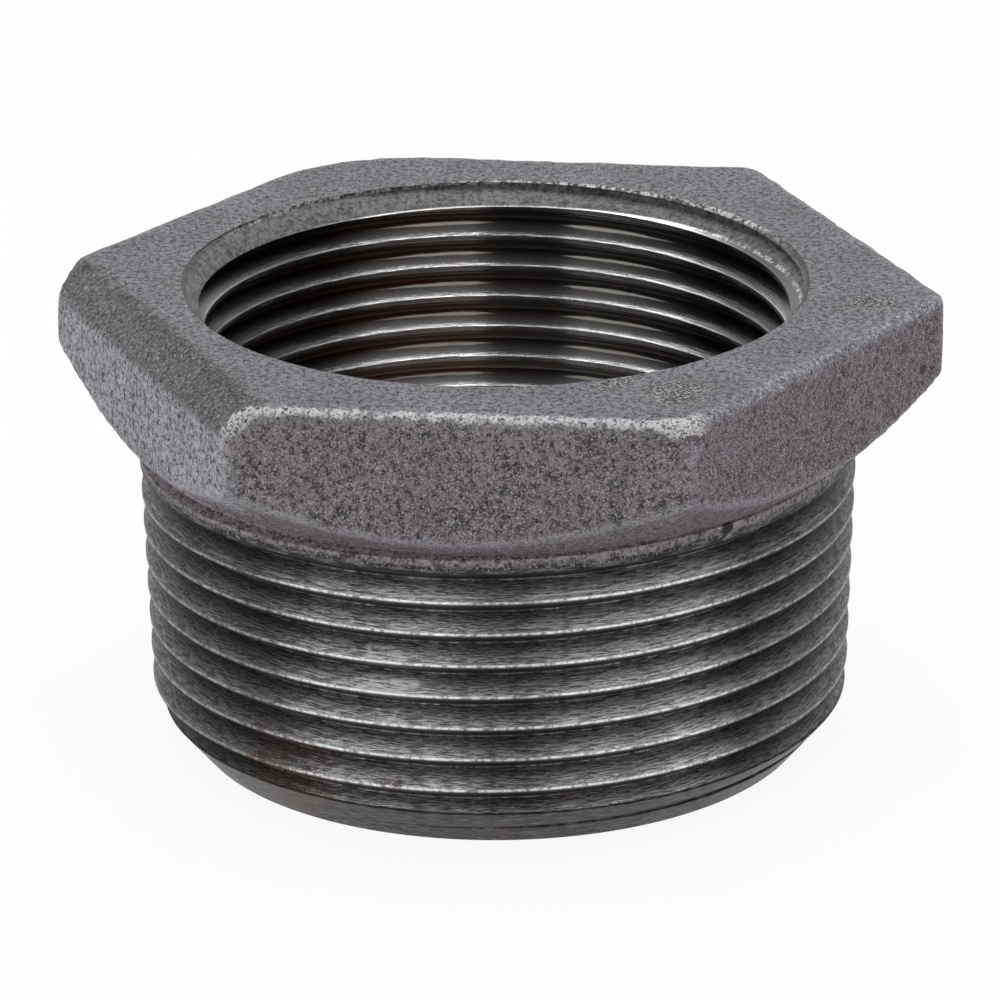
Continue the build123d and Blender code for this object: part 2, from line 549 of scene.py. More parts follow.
class Wiring:
    """Short ways to add and join nodes in one tree."""

    def __init__(self, tree):
        self.tree = tree
        self.column = 0

    def node(self, kind, inputs=(), **settings):
        """Adds a node, sets its properties and feeds its inputs, given by name or number."""
        made = self.tree.nodes.new(kind)
        made.location = (self.column * 180, -(self.column % 5) * 160)
        self.column += 1
        for name, value in settings.items():
            setattr(made, name, value)
        for key, value in dict(inputs).items():
            self.feed(made.inputs[key], value)
        return made

    def feed(self, socket, value):
        """Links a socket to another one, or sets its value."""
        if isinstance(value, bpy.types.NodeSocket):
            self.tree.links.new(value, socket)
        else:
            socket.default_value = value

    def math(self, operation, first, second=0.0, third=0.0):
        """One arithmetic step."""
        made = self.node(
            "ShaderNodeMath", {0: first, 1: second, 2: third}, operation=operation
        )
        return made.outputs[0]

    def product(self, first, *others):
        """Values multiplied together."""
        for other in others:
            first = self.math("MULTIPLY", first, other)
        return first

    def largest(self, first, *others):
        """Largest of several values."""
        for other in others:
            first = self.math("MAXIMUM", first, other)
        return first

    def hypotenuse(self, first, second):
        """Distance from two distances at right angles."""
        squares = self.math("ADD", self.product(first, first), self.product(second, second))
        return self.math("SQRT", squares)

    def ramp(self, value, low, high, start=0.0, end=1.0):
        """Smooth step from start to end as a value goes from low to high."""
        made = self.node(
            "ShaderNodeMapRange",
            {"Value": value, "From Min": low, "From Max": high, "To Min": start, "To Max": end},
            interpolation_type="SMOOTHSTEP",
        )
        return made.outputs[0]

    def line(self, value, centre, outer, inner, strength=1.0):
        """Strength where a value lies within inner of a centre, fading to nothing at outer."""
        away = self.math("ABSOLUTE", self.math("SUBTRACT", value, centre))
        return self.ramp(away, outer, inner, 0.0, strength)

    def noise(self, vector, scale, detail=2.0, roughness=0.5, distortion=0.0):
        """Soft noise from 0 to 1."""
        made = self.node(
            "ShaderNodeTexNoise",
            {
                "Vector": vector,
                "Scale": scale,
                "Detail": detail,
                "Roughness": roughness,
                "Distortion": distortion,
            },
        )
        return made.outputs["Fac"]

    def mix(self, amount, first, second, blend="MIX"):
        """Mix of two colours."""
        made = self.node(
            "ShaderNodeMix",
            {"Factor": amount, 6: first, 7: second},
            data_type="RGBA",
            blend_type=blend,
        )
        return made.outputs[2]

    def shaded(self, colour, amount):
        """Colour made darker or lighter by a plain factor."""
        grey = self.node("ShaderNodeCombineColor", {0: amount, 1: amount, 2: amount})
        return self.mix(1.0, colour, grey.outputs[0], "MULTIPLY")

    def scaled(self, vector, x, y, z):
        """Vector stretched along each axis."""
        made = self.node("ShaderNodeVectorMath", {0: vector, 1: (x, y, z)}, operation="MULTIPLY")
        return made.outputs[0]


def new_group(name, inputs, outputs):
    """Node group with named inputs, given as (name, kind, default), and named outputs."""
    tree = bpy.data.node_groups.new(name, "ShaderNodeTree")
    for label, kind, default in inputs:
        socket = tree.interface.new_socket(name=label, in_out="INPUT", socket_type=kind)
        if default is not None:
            socket.default_value = default
    for label, kind in outputs:
        tree.interface.new_socket(name=label, in_out="OUTPUT", socket_type=kind)
    wiring = Wiring(tree)
    entry = wiring.node("NodeGroupInput")
    leave = wiring.node("NodeGroupOutput")
    return wiring, entry.outputs, leave.inputs


def place_group(wiring, tree_name, inputs=()):
    """Node group placed in a material or in another group."""
    made = wiring.node("ShaderNodeGroup", node_tree=bpy.data.node_groups[tree_name])
    for key, value in dict(inputs).items():
        wiring.feed(made.inputs[key], value)
    return made.outputs


FLOAT = "NodeSocketFloat"
VECTOR = "NodeSocketVector"


def turned_position_group():
    """Place on the part in millimetres and round its axis."""
    wiring, _, leave = new_group(
        "Turned position", [],
        [
            ("Position", VECTOR), ("Angle", FLOAT), ("Radius", FLOAT),
            ("Height", FLOAT), ("Round", VECTOR),
        ],
    )
    coordinates = wiring.node("ShaderNodeTexCoord")
    position = wiring.scaled(coordinates.outputs["Object"], 1 / MM, 1 / MM, 1 / MM)
    split = wiring.node("ShaderNodeSeparateXYZ", {0: position})
    x, y, z = split.outputs
    angle = wiring.math("ARCTAN2", y, x)
    turned = wiring.math("WRAP", angle, math.tau, 0.0)
    radius = wiring.hypotenuse(x, y)
    round_x = wiring.math("DIVIDE", x, radius)
    round_y = wiring.math("DIVIDE", y, radius)
    round_place = wiring.node("ShaderNodeCombineXYZ", {0: round_x, 1: round_y})
    wiring.feed(leave["Position"], position)
    wiring.feed(leave["Angle"], turned)
    wiring.feed(leave["Radius"], radius)
    wiring.feed(leave["Height"], z)
    wiring.feed(leave["Round"], round_place.outputs[0])


def sand_grain_group():
    """Grain of a sand casting: height, bright specks (painted glints on the cast skin), dark pits and
    broad patches.
    """
    wiring, entry, leave = new_group(
        "Sand grain", [("Position", VECTOR, None), ("Size", FLOAT, 0.2)],
        [("Height", FLOAT), ("Specks", FLOAT), ("Pits", FLOAT), ("Patches", FLOAT)],
    )
    finer = wiring.math("DIVIDE", 1.0, entry["Size"])
    grain = wiring.noise(entry["Position"], finer, 3.0, 0.65)
    glints = wiring.noise(entry["Position"], wiring.math("MULTIPLY", finer, 1.55), 1.0, 0.5)
    hollows = wiring.noise(entry["Position"], wiring.math("MULTIPLY", finer, 0.42), 2.0, 0.6)
    patches = wiring.noise(entry["Position"], 0.22, 3.0, 0.6)
    wiring.feed(leave["Height"], wiring.math("ADD", grain, wiring.math("MULTIPLY", hollows, 0.8)))
    wiring.feed(leave["Specks"], wiring.ramp(glints, 0.55, 0.68))
    wiring.feed(leave["Pits"], wiring.ramp(hollows, 0.42, 0.30))
    wiring.feed(leave["Patches"], patches)


def turned_streaks_group():
    """Fine lines that a cutter leaves round the axis."""
    wiring, entry, leave = new_group(
        "Turned streaks",
        [
            ("Round", VECTOR, None), ("Across", FLOAT, 0.0),
            ("Height", FLOAT, 0.0), ("Length", FLOAT, 14.0),
        ],
        [("Streaks", FLOAT), ("Height", FLOAT), ("Breaks", FLOAT)],
    )
    spread = wiring.node(
        "ShaderNodeVectorMath", {0: entry["Round"], 3: entry["Length"]}, operation="SCALE"
    )
    fine = wiring.math(
        "ADD", wiring.product(entry["Across"], 9.0), wiring.product(entry["Height"], 0.9)
    )
    lift = wiring.node("ShaderNodeCombineXYZ", {2: fine})
    place = wiring.node(
        "ShaderNodeVectorMath", {0: spread.outputs[0], 1: lift.outputs[0]}, operation="ADD"
    )
    lines = wiring.noise(place.outputs[0], 1.0, 3.0, 0.65)
    breaks = wiring.noise(place.outputs[0], 2.7, 3.0, 0.7)
    wiring.feed(leave["Streaks"], lines)
    wiring.feed(leave["Height"], wiring.math("ADD", lines, wiring.math("MULTIPLY", breaks, 0.5)))
    wiring.feed(leave["Breaks"], breaks)


def rust_group():
    """Scattered specks of rust."""
    wiring, entry, leave = new_group(
        "Rust specks", [("Position", VECTOR, None), ("Amount", FLOAT, 0.3)], [("Mask", FLOAT)]
    )
    clouds = wiring.noise(entry["Position"], 0.35, 2.0, 0.5)
    specks = wiring.noise(entry["Position"], 2.4, 2.0, 0.6)
    where = wiring.ramp(clouds, 0.56, 0.70)
    spots = wiring.ramp(specks, 0.52, 0.62)
    wiring.feed(leave["Mask"], wiring.product(where, spots, entry["Amount"]))


def groove_side_group():
    """How far a place is from the nearest root of a thread, and which side of the groove it is on."""
    wiring, entry, leave = new_group(
        "Groove side",
        [("Angle", FLOAT, 0.0), ("Height", FLOAT, 0.0), ("Start", FLOAT, 0.0), ("Pitch", FLOAT, 1.0)],
        [("Rise", FLOAT), ("Under", FLOAT)],
    )
    turned = wiring.math("DIVIDE", entry["Angle"], math.tau)
    root = wiring.math("MULTIPLY_ADD", turned, entry["Pitch"], entry["Start"])
    rise = wiring.math("SUBTRACT", entry["Height"], root)
    phase = wiring.math("FRACT", wiring.math("DIVIDE", rise, entry["Pitch"]))
    wiring.feed(leave["Rise"], rise)
    wiring.feed(leave["Under"], wiring.ramp(phase, 0.51, 0.47))


def painted_light_bands_group():
    """Painted light round a thread: high on both sides of one direction, lower elsewhere."""
    wiring, entry, leave = new_group(
        "Painted light bands",
        [
            ("Angle", FLOAT, 0.0), ("Centre", FLOAT, 0.0),
            ("Middle", FLOAT, 0.5), ("Sides", FLOAT, 0.4),
        ],
        [("Share", FLOAT), ("Offset", FLOAT)],
    )
    offset = wiring.math("SUBTRACT", entry["Angle"], entry["Centre"])
    away = wiring.math("ABSOLUTE", offset)
    middle = wiring.ramp(away, math.radians(3), math.radians(13), entry["Middle"], 1.0)
    sides = wiring.ramp(away, math.radians(28), math.radians(43), 1.0, entry["Sides"])
    wiring.feed(leave["Share"], wiring.math("MULTIPLY", middle, sides))
    wiring.feed(leave["Offset"], offset)


def spot_group():
    """Ragged round spot at a place on the part."""
    wiring, entry, leave = new_group(
        "Spot",
        [("Position", VECTOR, None), ("Place", VECTOR, None), ("Size", FLOAT, 1.0)],
        [("Mask", FLOAT)],
    )
    away = wiring.node(
        "ShaderNodeVectorMath", {0: entry["Position"], 1: entry["Place"]}, operation="DISTANCE"
    )
    wander = wiring.math("SUBTRACT", wiring.noise(entry["Position"], 1.4, 3.0, 0.6), 0.5)
    ragged = wiring.math("MULTIPLY_ADD", wander, entry["Size"], away.outputs["Value"])
    edge = wiring.math("MULTIPLY", entry["Size"], 0.6)
    wiring.feed(leave["Mask"], wiring.ramp(ragged, entry["Size"], edge))


def spot(wiring, position, place, size):
    """Mask of one ragged spot, its place and size in millimetres."""
    return place_group(wiring, "Spot", {"Position": position, "Place": place, "Size": size})["Mask"]


def new_material(name):
    """Empty material with a Principled shader on its output."""
    material = bpy.data.materials.new(name)
    material.use_nodes = True
    material.node_tree.nodes.clear()
    wiring = Wiring(material.node_tree)
    shader = wiring.node("ShaderNodeBsdfPrincipled")
    output = wiring.node("ShaderNodeOutputMaterial")
    wiring.feed(output.inputs["Surface"], shader.outputs[0])
    return material, wiring, shader


def coat(wiring, shader, colour, roughness, metallic, relief, bump_distance, bump_strength=1.0):
    """Feeds a material's shader, with a bump made from its relief."""
    bump = wiring.node(
        "ShaderNodeBump",
        {"Strength": bump_strength, "Distance": bump_distance, "Height": relief},
    )
    wiring.feed(shader.inputs["Base Color"], colour)
    wiring.feed(shader.inputs["Roughness"], roughness)
    wiring.feed(shader.inputs["Metallic"], metallic)
    wiring.feed(shader.inputs["Normal"], bump.outputs[0])


def rgba(colour):
    """Colour with full alpha."""
    return (*colour, 1.0)


# ---------------------------------------------------------------- cast skin


class HeadPlaces:
    """Where a place lies on the hexagon head, as values in millimetres in one material."""

    def __init__(self, wiring, head):
        place = place_group(wiring, "Turned position")
        x, y, _ = wiring.node("ShaderNodeSeparateXYZ", {0: place["Position"]}).outputs
        half = head.across_flats / 2 / MM
        side = half * 2 / math.sqrt(3)
        shift = head.corner_shift / MM

        def outward(across, along):
            """Distance out towards one side, levelled so that each flat lies at half its width."""
            length = math.hypot(across, along)
            level = wiring.math("MULTIPLY_ADD", y, along / length, half - half * side / length)
            return wiring.math("MULTIPLY_ADD", x, across / length, level)

        self.position = place["Position"]
        self.sideways = wiring.math("ABSOLUTE", x)
        self.towards_front = wiring.math("MULTIPLY", y, -1.0)
        self.towards_right = outward(half, shift - side / 2)
        self.towards_left = outward(-half, -shift - side / 2)
        self.front = wiring.math("ABSOLUTE", self.towards_front)
        self.right = wiring.largest(self.towards_right, outward(-half, side / 2))
        self.left = wiring.largest(self.towards_left, outward(half, side / 2))

        # Distances in from the nearest flat, from the next one, and from the front and left flats.
        reach = wiring.largest(self.front, self.right, self.left)
        least = wiring.math("MINIMUM", self.front, wiring.math("MINIMUM", self.right, self.left))
        total = wiring.math("ADD", self.front, wiring.math("ADD", self.right, self.left))
        second = wiring.math("SUBTRACT", wiring.math("SUBTRACT", total, reach), least)
        self.inset = wiring.math("SUBTRACT", half, reach)
        self.corner_inset = wiring.math("SUBTRACT", half, second)
        self.front_inset = wiring.math("SUBTRACT", half, self.towards_front)
        self.left_inset = wiring.math("SUBTRACT", half, self.towards_left)

        self.below_top = wiring.math("SUBTRACT", head.height / MM, place["Height"])
        cone_height = wiring.math(
            "MULTIPLY_ADD",
            wiring.math("SUBTRACT", place["Radius"], NECK_RADIUS),
            1 / math.tan(head.underside_angle),
            wiring.math("MULTIPLY_ADD", y, math.tan(head.underside_lean), head.neck_height / MM),
        )
        self.above_underside = wiring.math("SUBTRACT", place["Height"], cone_height)
        self.wander = wiring.math("SUBTRACT", wiring.noise(self.position, 1.3, 3.0, 0.7), 0.5)
        self.fleck = wiring.noise(self.position, 4.5, 2.0, 0.7)
        edge_distance = wiring.hypotenuse(self.inset, self.below_top)
        self.ragged_edge = wiring.math("MULTIPLY_ADD", self.wander, 1.3, edge_distance)


def oxide_colour(wiring, at, grain, colours):
    """Dark grain with lighter tops and painted glints, and a tint of its own on each side of the head."""
    on_top = wiring.ramp(at.below_top, 0.9, 0.25)
    stray = wiring.math("MULTIPLY", at.wander, 1.2)
    tint = rgba(colours.skin)
    for towards, opposite, side_tint in (
        (at.towards_left, at.right, colours.left),
        (at.towards_right, at.left, colours.purple),
    ):
        past_corner = wiring.math(
            "SUBTRACT", wiring.math("ADD", towards, stray), wiring.largest(at.front, opposite)
        )
        tint = wiring.mix(wiring.ramp(past_corner, -0.35, 0.25), tint, rgba(side_tint))
    tint = wiring.mix(wiring.ramp(at.below_top, 7.0, 10.5), tint, rgba(colours.purple))
    tint = wiring.mix(on_top, tint, rgba(colours.blue))
    colour = wiring.mix(wiring.ramp(grain["Height"], 0.70, 1.04), rgba(colours.skin_dark), tint)
    colour = wiring.shaded(colour, wiring.ramp(grain["Patches"], 0.32, 0.68, 0.88, 1.15))
    # Painted glints in the grain, fewer on the top face.
    painted_glint_share = wiring.ramp(on_top, 0.0, 1.0, 0.85, 0.35)
    colour = wiring.mix(wiring.product(grain["Specks"], painted_glint_share), colour, PAINTED_GLINT)
    return wiring.mix(wiring.product(grain["Pits"], 0.35), colour, rgba(colours.skin_dark))


def marked_colour(wiring, at, colour):
    """Adds the rough marks on the top face and the small dents on two corners."""
    torn = wiring.mix(wiring.ramp(at.fleck, 0.47, 0.60), MARK_DARK, MARK_PALE)
    for mark in ROUGH_MARKS:
        colour = wiring.mix(spot(wiring, at.position, *mark), colour, torn)
    for dent in DENTS:
        colour = wiring.mix(spot(wiring, at.position, *dent), colour, DENT_DARK)
    return colour


def beaten_mask(wiring, at):
    """Mask of the bevel beaten into the top edge of the left flat."""
    inwards = wiring.math("ADD", at.left_inset, at.below_top)
    ragged = wiring.math("ADD", inwards, wiring.math("MULTIPLY", at.wander, 1.6))
    near_top = wiring.ramp(wiring.math("ABSOLUTE", at.below_top), 2.6, 1.9)
    return wiring.product(wiring.ramp(ragged, 3.0, 2.3), near_top)


def pale_arris_highlight_mask(wiring, at):
    """Mask of the arrises, corners and lower edges of the head that are only paler: rubbed a little and
    given a painted highlight.
    """
    edge = wiring.ramp(at.ragged_edge, 1.3, 0.4, 0.0, 0.30)
    ragged_corner = wiring.math("MULTIPLY_ADD", at.wander, 2.2, at.corner_inset)
    corner = wiring.ramp(ragged_corner, 0.75, 0.10, 0.0, 0.60)
    off_underside = wiring.math("ABSOLUTE", at.above_underside)
    ragged_lower = wiring.math("MULTIPLY_ADD", at.wander, 1.2, off_underside)
    lower = wiring.product(
        wiring.ramp(ragged_lower, 0.45, 0.05), wiring.ramp(at.inset, 1.2, 0.3), 0.60
    )
    return wiring.product(wiring.largest(edge, corner, lower), wiring.ramp(at.fleck, 0.36, 0.56))


def bright_wear_and_highlight_mask(wiring, at, beaten):
    """Mask of the bright arrises, rubbed bright and given a painted highlight: over the front flat, at the
    bevel's end and, less, on the right.
    """
    flecks = wiring.ramp(at.fleck, 0.38, 0.54)
    thinning = wiring.ramp(at.sideways, 12.8, 15.0, 0.0, 0.5)
    front_edge = wiring.product(
        wiring.ramp(wiring.math("SUBTRACT", at.ragged_edge, thinning), 0.66, 0.34),
        flecks,
        wiring.ramp(at.towards_front, 23.6, 24.8),
        wiring.ramp(at.sideways, 17.2, 15.6),
    )
    bevel_end = wiring.product(
        wiring.ramp(wiring.math("ADD", at.wander, at.front_inset), 0.70, 0.40), beaten, flecks
    )
    right_edge = wiring.product(
        wiring.ramp(at.ragged_edge, 0.8, 0.4),
        wiring.ramp(at.fleck, 0.56, 0.64),
        wiring.ramp(at.towards_right, 23.6, 24.8, 0.0, 0.7),
    )
    return wiring.largest(front_edge, bevel_end, right_edge)


def cast_skin_material(head, colours):
    """Sand-cast iron under black oxide, rubbed bright on its arrises, with painted highlights there and
    painted glints in the grain.
    """
    material, wiring, shader = new_material("cast_skin")
    at = HeadPlaces(wiring, head)
    grain = place_group(wiring, "Sand grain", {"Position": at.position, "Size": 0.17})
    colour = oxide_colour(wiring, at, grain, colours)
    colour = marked_colour(wiring, at, colour)
    beaten = beaten_mask(wiring, at)
    chips = wiring.mix(wiring.ramp(at.fleck, 0.50, 0.66), CHIP_DARK, CHIP_PALE)
    colour = wiring.mix(wiring.product(beaten, 0.75), colour, chips)
    # Painted highlight on the paler arrises, which are also a little rubbed.
    colour = wiring.mix(pale_arris_highlight_mask(wiring, at), colour, PALE_ARRIS_HIGHLIGHT)
    # Rubbed bright arrises with a painted highlight.
    colour = wiring.mix(bright_wear_and_highlight_mask(wiring, at, beaten), colour, rgba(colours.worn))
    roughness = wiring.ramp(grain["Height"], 0.6, 1.2, 0.72, 0.46)
    battered = wiring.product(at.fleck, beaten)
    relief = wiring.math("MULTIPLY_ADD", battered, 1.5, grain["Height"])
    coat(wiring, shader, colour, roughness, 0.25, relief, 0.32 * MM)
    return material


# ---------------------------------------------------------------- threads


class ThreadPlaces:
    """Where a place lies on a thread, with the cutter's streaks there, in one material."""

    def __init__(self, wiring, place, depth, streak_length, start, pitch, bands):
        streaks = place_group(
            wiring, "Turned streaks",
            {
                "Round": place["Round"], "Across": depth,
                "Height": place["Height"], "Length": streak_length,
            },
        )
        side = place_group(
            wiring, "Groove side",
            {
                "Angle": place["Angle"], "Height": place["Height"],
                "Start": start / MM, "Pitch": pitch / MM,
            },
        )
        # Painted light and shade round the thread: bright on both sides of the band's centre, darker in
        # its middle and beyond.
        bare = place_group(wiring, "Painted light bands", {"Angle": place["Angle"], **bands})
        self.position = place["Position"]
        self.angle = place["Angle"]
        self.radius = place["Radius"]
        self.height = place["Height"]
        self.round = place["Round"]
        self.depth = depth
        self.streaks = streaks["Streaks"]
        self.breaks = streaks["Breaks"]
        self.relief = streaks["Height"]
        self.wander = wiring.math("SUBTRACT", self.streaks, 0.5)
        self.rise = side["Rise"]
        self.under = side["Under"]
        self.share = bare["Share"]
        self.offset = bare["Offset"]


def flank_colour(wiring, at, pitch, colours):
    """Flank of the outside thread: painted shade deep in the groove, brighter towards the crest, strongly
    streaked, worn on top with a painted highlight.
    """
    broad = wiring.noise(at.position, 0.28, 3.0, 0.6)
    ragged = wiring.math("MULTIPLY_ADD", at.wander, 0.9, at.depth)
    # Painted shade deep in the groove, lighter towards the crest.
    metal = wiring.mix(
        wiring.ramp(ragged, 1.45, 0.05), rgba(colours.painted_root_shade), rgba(colours.cut_metal)
    )
    # The painted light bands brighten or darken the streaked flank.
    contrast = wiring.product(
        wiring.ramp(at.streaks, 0.37, 0.63, 0.35, 1.75),
        wiring.ramp(at.breaks, 0.36, 0.62, 0.55, 1.40),
        wiring.ramp(broad, 0.35, 0.65, 0.88, 1.15),
        at.share,
    )
    metal = wiring.shaded(metal, contrast)
    ragged_crest = wiring.math("MULTIPLY_ADD", at.wander, 0.5, at.depth)
    crest = wiring.product(
        wiring.ramp(ragged_crest, 0.15, -0.02), wiring.ramp(at.breaks, 0.40, 0.58, 0.20, 1.0)
    )
    second_line = wiring.product(
        wiring.line(at.depth, 0.36, 0.10, 0.02),
        wiring.line(at.rise, -1.5 * pitch / MM, 0.8, 0.6),
        wiring.ramp(broad, 0.42, 0.52),
    )
    # Crests and one line rubbed bright, with a painted highlight that follows the painted light bands.
    worn = wiring.product(
        wiring.largest(crest, second_line), wiring.ramp(at.share, 0.3, 0.9, 0.22, 1.0)
    )
    return wiring.mix(worn, metal, CREST_WEAR_AND_HIGHLIGHT)


def neck_colour(wiring, at, grain, half_pitch, metal, colours):
    """Adds the dark torn land beside the run-out and the cast neck above, and gives their mask."""
    turned = wiring.math("DIVIDE", at.angle, math.tau)
    uneven = wiring.math("SUBTRACT", wiring.noise(at.position, 1.1, 3.0, 0.65), 0.5)
    above = wiring.math("MULTIPLY_ADD", uneven, 0.7, at.rise)
    land = wiring.product(
        wiring.ramp(above, -half_pitch - 0.35, -half_pitch - 0.15),
        wiring.ramp(turned, 0.20, 0.55),
    )
    torn = place_group(
        wiring, "Turned streaks",
        {"Round": at.round, "Across": wiring.product(at.height, 0.45), "Length": 16.0},
    )
    torn_land = wiring.mix(wiring.ramp(torn["Height"], 0.70, 0.88), LAND_DARK, LAND_PALE)
    metal = wiring.mix(land, metal, torn_land)
    skin = wiring.ramp(above, -0.80, -0.58)
    neck = wiring.mix(
        wiring.ramp(grain["Height"], 0.66, 1.08), rgba(colours.skin_dark), NECK_SKIN
    )
    metal = wiring.mix(skin, metal, neck)
    burr = wiring.product(
        wiring.line(above, -0.85, 0.25, 0.05), wiring.ramp(grain["Specks"], 0.1, 0.6), 0.6
    )
    return wiring.mix(burr, metal, BURR_METAL), wiring.largest(skin, land)


def end_bevel_colour(wiring, at, thread, metal):
    """Adds the dull bevel at the small end."""
    top = thread.bevel_height / MM
    inner_radius = (thread.crest_radius - thread.bevel_width) / MM
    bevel_rise = wiring.product(
        wiring.math("SUBTRACT", at.radius, inner_radius), thread.bevel_height / thread.bevel_width
    )
    on_bevel = wiring.product(
        wiring.line(at.height, bevel_rise, 0.25, 0.10),
        wiring.ramp(at.height, top + 0.1, top - 0.2),
    )
    dull = wiring.mix(wiring.ramp(at.streaks, 0.38, 0.66), BEVEL_DARK, BEVEL_PALE)
    return wiring.mix(on_bevel, metal, dull)


def rusted_colour(wiring, at, grain, metal, colours):
    """Adds specks of rust low on the thread, one rusty patch, and the nick under the head."""
    rust = place_group(wiring, "Rust specks", {"Position": at.position, "Amount": 0.8})
    patch = wiring.product(
        spot(wiring, at.position, *RUSTY_PATCH), wiring.ramp(grain["Height"], 0.86, 1.02)
    )
    low = wiring.ramp(at.height, 10.0, 4.5)
    speckled = wiring.largest(wiring.product(rust["Mask"], low), patch)
    metal = wiring.mix(wiring.product(speckled, 0.8), metal, rgba(colours.rust))
    rim = wiring.product(spot(wiring, at.position, *NICK_RIM), grain["Specks"])
    metal = wiring.mix(rim, metal, NICK_RIM_METAL)
    return wiring.mix(spot(wiring, at.position, *NICK), metal, NICK_DARK)


def outside_thread_material(thread, colours):
    """Machined outside thread: streaked flanks under painted light, worn crests with a painted highlight,
    roots and down-facing flanks in painted shade, and a cast neck above.
    """
    material, wiring, shader = new_material("outside_thread")
    place = place_group(wiring, "Turned position")
    grain = place_group(wiring, "Sand grain", {"Position": place["Position"], "Size": 0.20})
    crest = wiring.math(
        "MULTIPLY_ADD", place["Height"], thread.taper, thread.crest_radius / MM
    )
    depth = wiring.math("SUBTRACT", crest, place["Radius"])
    at = ThreadPlaces(
        wiring, place, depth, 24.0, thread.runout_height, thread.pitch, OUTSIDE_PAINTED_LIGHT
    )
    metal = flank_colour(wiring, at, thread.pitch, colours)
    # Galled metal, painted near white as a highlight too.
    galling_and_highlight = wiring.product(
        spot(wiring, at.position, *GALLED_HIGHLIGHT_PATCH),
        wiring.ramp(at.streaks, 0.38, 0.50),
        wiring.ramp(at.depth, 1.3, 0.8),
    )
    metal = wiring.mix(galling_and_highlight, metal, GALLED_METAL_AND_HIGHLIGHT)
    # Painted shade on the down-facing flank under each crest.
    metal = wiring.mix(wiring.product(at.under, 0.9), metal, OUTSIDE_UNDERSIDE_SHADE)
    metal, cast = neck_colour(wiring, at, grain, thread.pitch / MM / 2, metal, colours)
    metal = end_bevel_colour(wiring, at, thread, metal)
    metal = rusted_colour(wiring, at, grain, metal, colours)
    relief = wiring.node(
        "ShaderNodeMix", {0: cast, 2: wiring.product(at.relief, 0.6), 3: grain["Height"]},
        data_type="FLOAT",
    )
    dulled = wiring.product(wiring.largest(cast, galling_and_highlight), 0.73)
    metallic = wiring.math("SUBTRACT", 0.75, wiring.product(dulled, 0.75))
    roughness = wiring.ramp(cast, 0.0, 1.0, 0.40, 0.62)
    coat(wiring, shader, metal, roughness, metallic, relief.outputs[0], 0.18 * MM)
    return material


def lens_reflection_mask(wiring, ragged, away):
    """Mask of the painted reflection, a pale lens near the root on each side of the band's centre."""
    swell = wiring.product(
        wiring.ramp(away, math.radians(38), math.radians(16), 0.0, 0.19),
        wiring.ramp(away, math.radians(4), math.radians(12)),
    )
    off_lens = wiring.math("ABSOLUTE", wiring.math("SUBTRACT", ragged, 1.0))
    return wiring.ramp(wiring.math("SUBTRACT", off_lens, swell), 0.0, -0.12, 0.0, 0.85)


def mouth_colour(wiring, at, grain, fall, away, metal):
    """Adds the dull, faintly streaked mouth, a painted shadow on the outer rim at the front and bright
    nicks on its rims, a painted highlight on the outer rim at the back, and gives its mask.
    """
    mouth = wiring.ramp(fall, 0.0, -0.12)
    worked = wiring.math("MULTIPLY_ADD", at.streaks, 0.5, grain["Height"])
    dull = wiring.mix(wiring.ramp(worked, 0.90, 1.35), MOUTH_DARK, MOUTH_PALE)
    metal = wiring.mix(mouth, metal, dull)
    inner_rim = wiring.line(fall, 0.0, 0.12, 0.03, 0.7)
    outer = wiring.ramp(wiring.math("ADD", fall, MOUTH_DEPTH / MM), 0.36, 0.18)
    at_back = wiring.ramp(away, math.radians(75), math.radians(45), 0.08, 1.0)
    in_shadow = wiring.product(outer, wiring.ramp(at_back, 0.6, 0.2))
    metal = wiring.mix(in_shadow, metal, RIM_SHADOW)
    # Nicks on the inner rim; on the outer rim, only at the back, a painted highlight.
    nicks_and_highlight = wiring.product(
        wiring.largest(inner_rim, wiring.product(outer, at_back)),
        wiring.ramp(grain["Height"], 0.80, 1.05),
    )
    return wiring.mix(nicks_and_highlight, metal, RIM_NICK_AND_HIGHLIGHT), mouth


